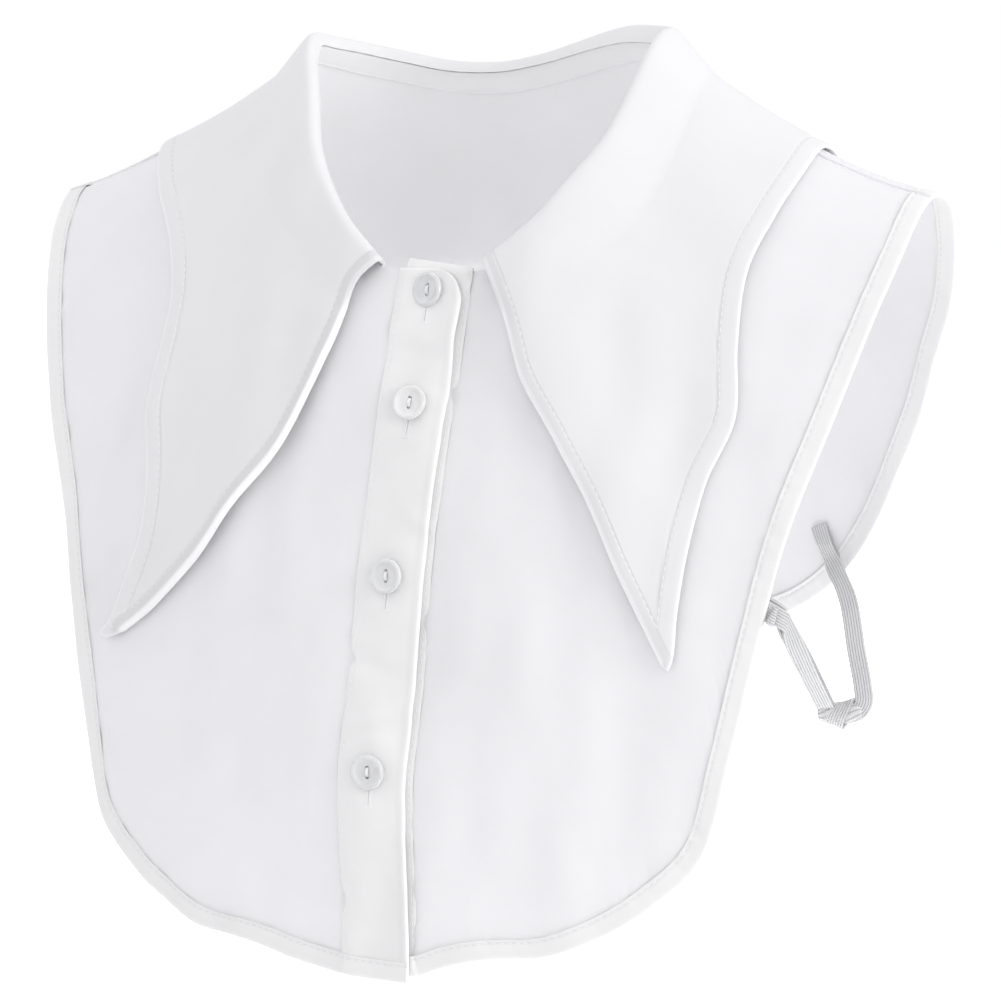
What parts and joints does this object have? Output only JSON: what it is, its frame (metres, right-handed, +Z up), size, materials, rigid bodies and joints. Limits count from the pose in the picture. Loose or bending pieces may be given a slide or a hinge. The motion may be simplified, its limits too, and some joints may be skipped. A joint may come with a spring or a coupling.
{
  "type": "detachable bib collar",
  "caption": "Buttoned bib with a large pointed flat collar, bound armholes and elastic side ties, worn under a top to fill its neckline.",
  "frame": {"origin": "middle of the neck opening, level with the neck points of the shoulders, where a neck holds the worn collar up", "axes": "+Z up along the neck, +X to the wearer's left, the buttoned front faces -Y"},
  "size_m": [0.3228, 0.1732, 0.3017],
  "materials": {
    "panel_cloth": "thin plain-weave cotton blend, cool white, matte",
    "collar_cloth": "two plies of the same cloth with light interfacing, pressed, matte",
    "band_cloth": "folded strips of the same cloth, pressed and topstitched",
    "button": "translucent pearly polyester, polished",
    "thread": "white spun polyester thread",
    "elastic": "flat ribbed braided elastic, off-white"
  },
  "bodies": {
    "root": {"front_right": "panel_cloth", "front_left": "panel_cloth", "back": "panel_cloth", "collar": "collar_cloth", "neck_facing": "band_cloth", "placket_upper": "band_cloth", "placket_under": "band_cloth", "binding_front_right": "band_cloth", "binding_front_left": "band_cloth", "binding_back": "band_cloth", "button_1": "button", "button_2": "button", "button_3": "button", "button_4": "button", "button_thread_1": "thread", "button_thread_2": "thread", "button_thread_3": "thread", "button_thread_4": "thread", "elastic_rear_left": "elastic", "elastic_knot_left": "elastic", "elastic_front_left": "elastic", "elastic_rear_right": "elastic", "elastic_knot_right": "elastic", "elastic_front_right": "elastic"}
  },
  "joints": []
}
